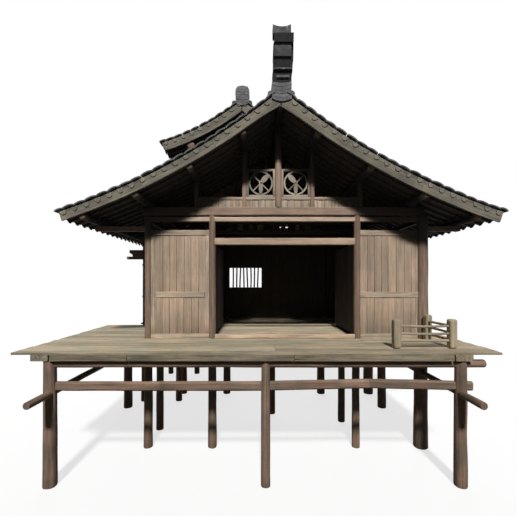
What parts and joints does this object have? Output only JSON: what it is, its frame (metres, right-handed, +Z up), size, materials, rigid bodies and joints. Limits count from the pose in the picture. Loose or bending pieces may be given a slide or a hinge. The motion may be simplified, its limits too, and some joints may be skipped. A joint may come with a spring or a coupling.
{
  "type": "stilt house",
  "caption": "Timber house with a front gable, raised on round log stilts with a broad plank deck; tiled roof, a smaller upper roof, a corner railing and double doors that swing inward.",
  "frame": {"origin": "ground level, under the middle of the foot of the front middle stilt", "axes": "+Y from the front edge of the deck into the house, +X to the right of someone facing the front, +Z up"},
  "size_m": [10.04, 8.74, 9.5409],
  "materials": {
    "stilt_logs": "weathered round log",
    "deck_boards": "worn grey-green planks",
    "frame_timber": "weathered reddish brown timber",
    "wall_planks": "weathered tan planks",
    "fretwork_wood": "bleached grey timber",
    "door_wood": "dark old planks",
    "rafters": "dark timber",
    "verge_boards": "bleached grey-green board",
    "roof_tiles": "dark grey fired clay",
    "ridge_tiles": "grey fired clay"
  },
  "bodies": {
    "root": {"annex_beams": "frame_timber", "annex_floor": "deck_boards", "annex_posts": "frame_timber", "annex_roof": "roof_tiles", "annex_walls": "wall_planks", "annex_window_boards": "wall_planks", "cross_logs": "stilt_logs", "deck": "deck_boards", "deck_stilts": "stilt_logs", "door_lintel": "frame_timber", "door_sill": "frame_timber", "door_sockets": "frame_timber", "eave_brackets": "frame_timber", "edge_beams": "deck_boards", "finials": "ridge_tiles", "floor_joists": "frame_timber", "front_beam": "deck_boards", "front_rail": "stilt_logs", "front_railing": "deck_boards", "front_wall": "wall_planks", "gable_boards": "wall_planks", "gable_fretwork": "fretwork_wood", "gable_posts": "frame_timber", "gable_rail": "frame_timber", "house_floor": "deck_boards", "house_posts": "frame_timber", "house_stilts": "stilt_logs", "lower_beams": "frame_timber", "main_ridge": "ridge_tiles", "main_roof_left": "roof_tiles", "main_roof_right": "roof_tiles", "purlins": "frame_timber", "rafters": "rafters", "rear_gable": "wall_planks", "rear_wall": "wall_planks", "side_logs": "stilt_logs", "side_railing": "deck_boards", "side_walls": "wall_planks", "tie_beams": "frame_timber", "upper_posts": "frame_timber", "upper_purlins": "frame_timber", "upper_ridge": "ridge_tiles", "upper_roof_left": "roof_tiles", "upper_roof_right": "roof_tiles", "upper_walls": "wall_planks", "verge_boards": "verge_boards", "wall_rails": "wall_planks"},
    "left_leaf": {"door_leaf_left": "door_wood"},
    "right_leaf": {"door_leaf_right": "door_wood"}
  },
  "joints": [
    {"name": "left_leaf_swing", "type": "hinge", "parent": "root", "child": "left_leaf", "pos_m": [-1.23, 1.55, 2.625], "axis": [0, 0, -1], "range_deg": [0, 90]},
    {"name": "right_leaf_swing", "type": "hinge", "parent": "root", "child": "right_leaf", "pos_m": [2.23, 1.55, 2.625], "axis": [0, 0, 1], "range_deg": [0, 90]}
  ]
}
